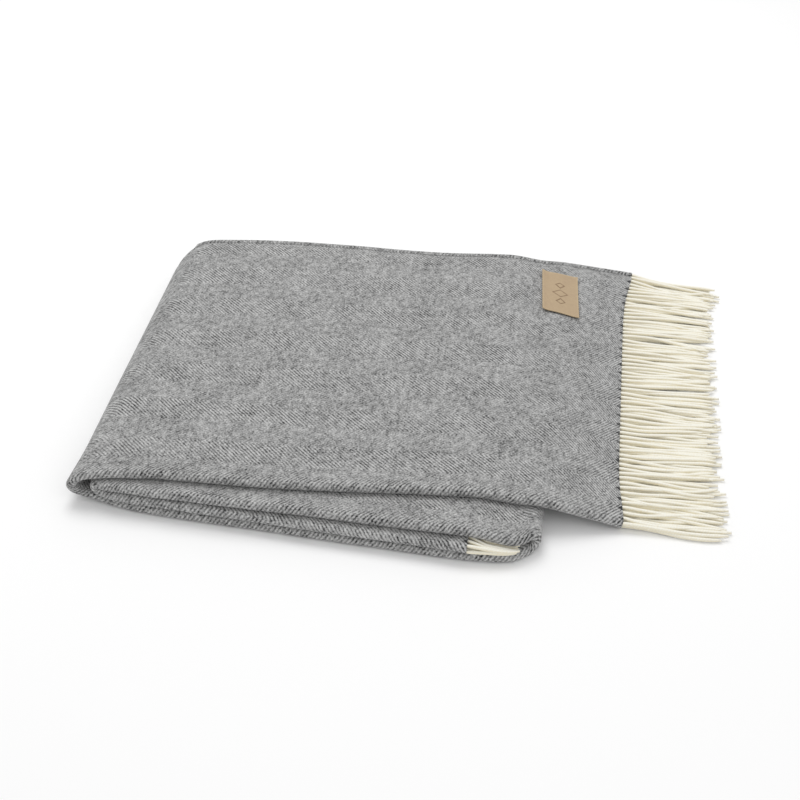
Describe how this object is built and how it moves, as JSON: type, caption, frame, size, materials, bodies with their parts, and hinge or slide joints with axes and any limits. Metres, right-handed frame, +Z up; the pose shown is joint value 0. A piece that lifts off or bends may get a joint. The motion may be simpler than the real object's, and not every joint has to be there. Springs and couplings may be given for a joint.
{
  "type": "camp blanket",
  "caption": "Folded grey herringbone wool blanket with ivory twisted fringes and a plain tan sewn label; its top leaf opens over the left fold and its end flap lifts.",
  "frame": {"origin": "on the ground under the middle of the folded blanket, its outer fringe included", "axes": "+X from the left fold towards the outer fringe, +Y from the front edges to the back edges, +Z up"},
  "size_m": [0.6363, 0.4995, 0.0417],
  "materials": {
    "wool_cloth": "napped grey and white wool woven in a herringbone",
    "fringe": "ivory wool yarns twisted into cords",
    "label": "matt kraft-coloured leatherette with a faint paper grain",
    "thread": "tan sewing thread"
  },
  "bodies": {
    "stack": {"bottom_leaf": "wool_cloth", "third_leaf": "wool_cloth", "second_leaf": "wool_cloth", "left_fold": "wool_cloth", "inner_left_fold": "wool_cloth", "right_fold": "wool_cloth", "inner_fringe": "fringe"},
    "top": {"top_leaf": "wool_cloth"},
    "flap": {"end_flap": "wool_cloth", "outer_fringe": "fringe", "label": "label", "label_stitching": "thread"}
  },
  "joints": [
    {"name": "top_leaf_opening", "type": "hinge", "parent": "stack", "child": "top", "pos_m": [-0.32189, 0, 0.02235], "axis": [0, -1, 0], "range_deg": [0, 179.5], "deforming": ["left_fold"]},
    {"name": "end_flap_lifting", "type": "hinge", "parent": "top", "child": "flap", "pos_m": [0.10685, 0, 0.03642], "axis": [0, -1, 0], "range_deg": [0, 165]}
  ]
}
